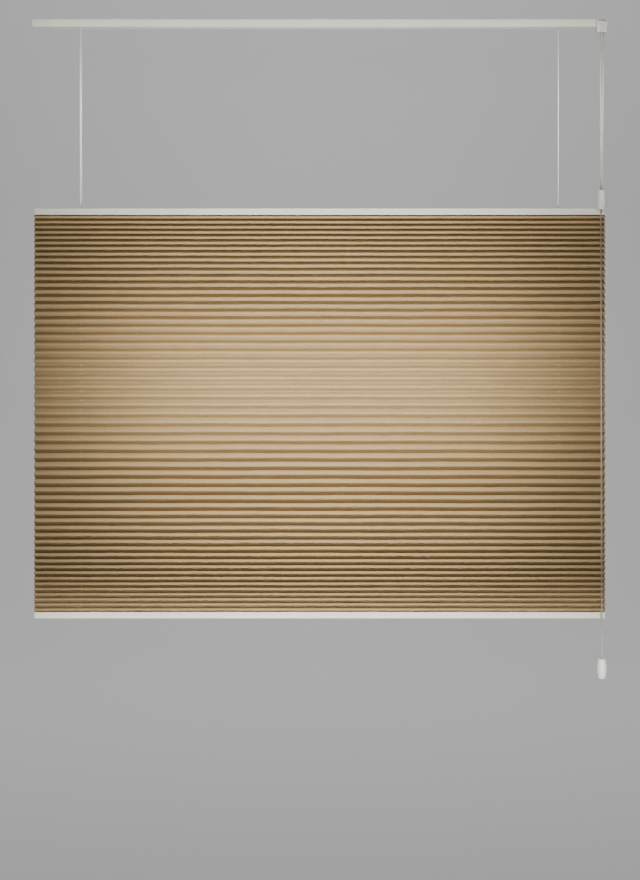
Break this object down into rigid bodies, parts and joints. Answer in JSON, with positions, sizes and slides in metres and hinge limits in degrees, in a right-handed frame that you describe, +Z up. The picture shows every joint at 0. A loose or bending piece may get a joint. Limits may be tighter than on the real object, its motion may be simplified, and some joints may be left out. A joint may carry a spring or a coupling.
{
  "type": "pleated blind",
  "caption": "Cord-operated pleated window blind with headrail, sliding middle and bottom rails, folded fabric, cord lock, pull cords and tassels.",
  "frame": {"origin": "on the ceiling that the brackets are screwed to, at the middle of the blind's width and depth", "axes": "+Z up, +X to the right seen from the room, -Y towards the room"},
  "size_m": [1.15, 0.047, 1.3176],
  "materials": {
    "ivory_metal": "satin paint",
    "ivory_plastic": "satin",
    "tassel_plastic": "satin",
    "strip_plastic": "matte",
    "crimp_plastic": "satin",
    "pawl_plastic": "matte",
    "spring_steel": "zinc plated",
    "blind_fabric": "woven, pleated",
    "cord": "braided"
  },
  "bodies": {
    "headrail": {"headrail_profile": "ivory_metal", "headrail_end_cap_left": "ivory_plastic", "headrail_end_cap_right": "ivory_plastic", "mounting_bracket_left": "spring_steel", "mounting_bracket_centre": "spring_steel", "mounting_bracket_right": "spring_steel", "cord_lock_body": "ivory_plastic", "lock_pin": "spring_steel", "cord_guide_left": "ivory_plastic", "cord_guide_right": "ivory_plastic", "headrail_cord_middle_left": "cord", "headrail_cord_middle_right": "cord", "headrail_cord_bottom_left": "cord", "headrail_cord_bottom_right": "cord"},
    "middle_rail": {"middle_rail_profile": "ivory_metal", "middle_rail_end_cap_left": "ivory_plastic", "middle_rail_end_cap_right": "ivory_plastic", "rail_grommet_left": "ivory_plastic", "rail_grommet_right": "ivory_plastic", "fabric_strip_top": "strip_plastic", "pleated_fabric": "blind_fabric", "cord_bead_middle_left": "crimp_plastic", "cord_bead_middle_right": "crimp_plastic", "lift_cord_middle_left": "cord", "lift_cord_middle_right": "cord", "lift_cord_bottom_left": "cord", "lift_cord_bottom_right": "cord"},
    "bottom_rail": {"bottom_rail_profile": "ivory_metal", "bottom_rail_end_cap_left": "ivory_plastic", "bottom_rail_end_cap_right": "ivory_plastic", "fabric_strip_bottom": "strip_plastic", "cord_bead_bottom_left": "crimp_plastic", "cord_bead_bottom_right": "crimp_plastic", "fabric_cord_left": "cord", "fabric_cord_right": "cord"},
    "upper_tassel": {"tassel_upper": "tassel_plastic", "cord_knot_upper": "cord", "pull_cord_middle_left": "cord", "pull_cord_middle_right": "cord", "pull_cord_bottom_upper_left": "cord", "pull_cord_bottom_upper_right": "cord"},
    "lower_tassel": {"tassel_lower": "tassel_plastic", "cord_knot_lower": "cord", "pull_cord_bottom_lower_left": "cord", "pull_cord_bottom_lower_right": "cord"},
    "pawl_middle": {"lock_pawl_middle": "pawl_plastic"},
    "pawl_bottom": {"lock_pawl_bottom": "pawl_plastic"}
  },
  "joints": [
    {"name": "middle_rail_slide", "type": "slide", "parent": "headrail", "child": "middle_rail", "axis": [0, 0, 1], "range_m": [-0.314, 0.35], "deforming": ["lift_cord_middle_left", "lift_cord_middle_right", "lift_cord_bottom_left", "lift_cord_bottom_right"]},
    {"name": "bottom_rail_slide", "type": "slide", "parent": "middle_rail", "child": "bottom_rail", "axis": [0, 0, 1], "range_m": [-0.384, 0.7], "deforming": ["pleated_fabric", "fabric_cord_left", "fabric_cord_right"]},
    {"name": "upper_tassel_slide", "type": "slide", "parent": "headrail", "child": "upper_tassel", "axis": [0, 0, 1], "range_m": [-0.35, 0.314], "deforming": ["pull_cord_middle_left", "pull_cord_middle_right", "pull_cord_bottom_upper_left", "pull_cord_bottom_upper_right"]},
    {"name": "lower_tassel_slide", "type": "slide", "parent": "upper_tassel", "child": "lower_tassel", "axis": [0, 0, 1], "range_m": [-0.7, 0.384], "deforming": ["pull_cord_bottom_lower_left", "pull_cord_bottom_lower_right"]},
    {"name": "pawl_middle_pivot", "type": "hinge", "parent": "headrail", "child": "pawl_middle", "pos_m": [0.567, -0.0085, -0.014], "axis": [1, 0, 0], "range_deg": [0, 30]},
    {"name": "pawl_bottom_pivot", "type": "hinge", "parent": "headrail", "child": "pawl_bottom", "pos_m": [0.561, -0.0085, -0.014], "axis": [1, 0, 0], "range_deg": [0, 30]}
  ],
  "couplings": [
    {"joint": "upper_tassel_slide", "follows": "middle_rail_slide", "ratio": -1},
    {"joint": "lower_tassel_slide", "follows": "bottom_rail_slide", "ratio": -1}
  ]
}
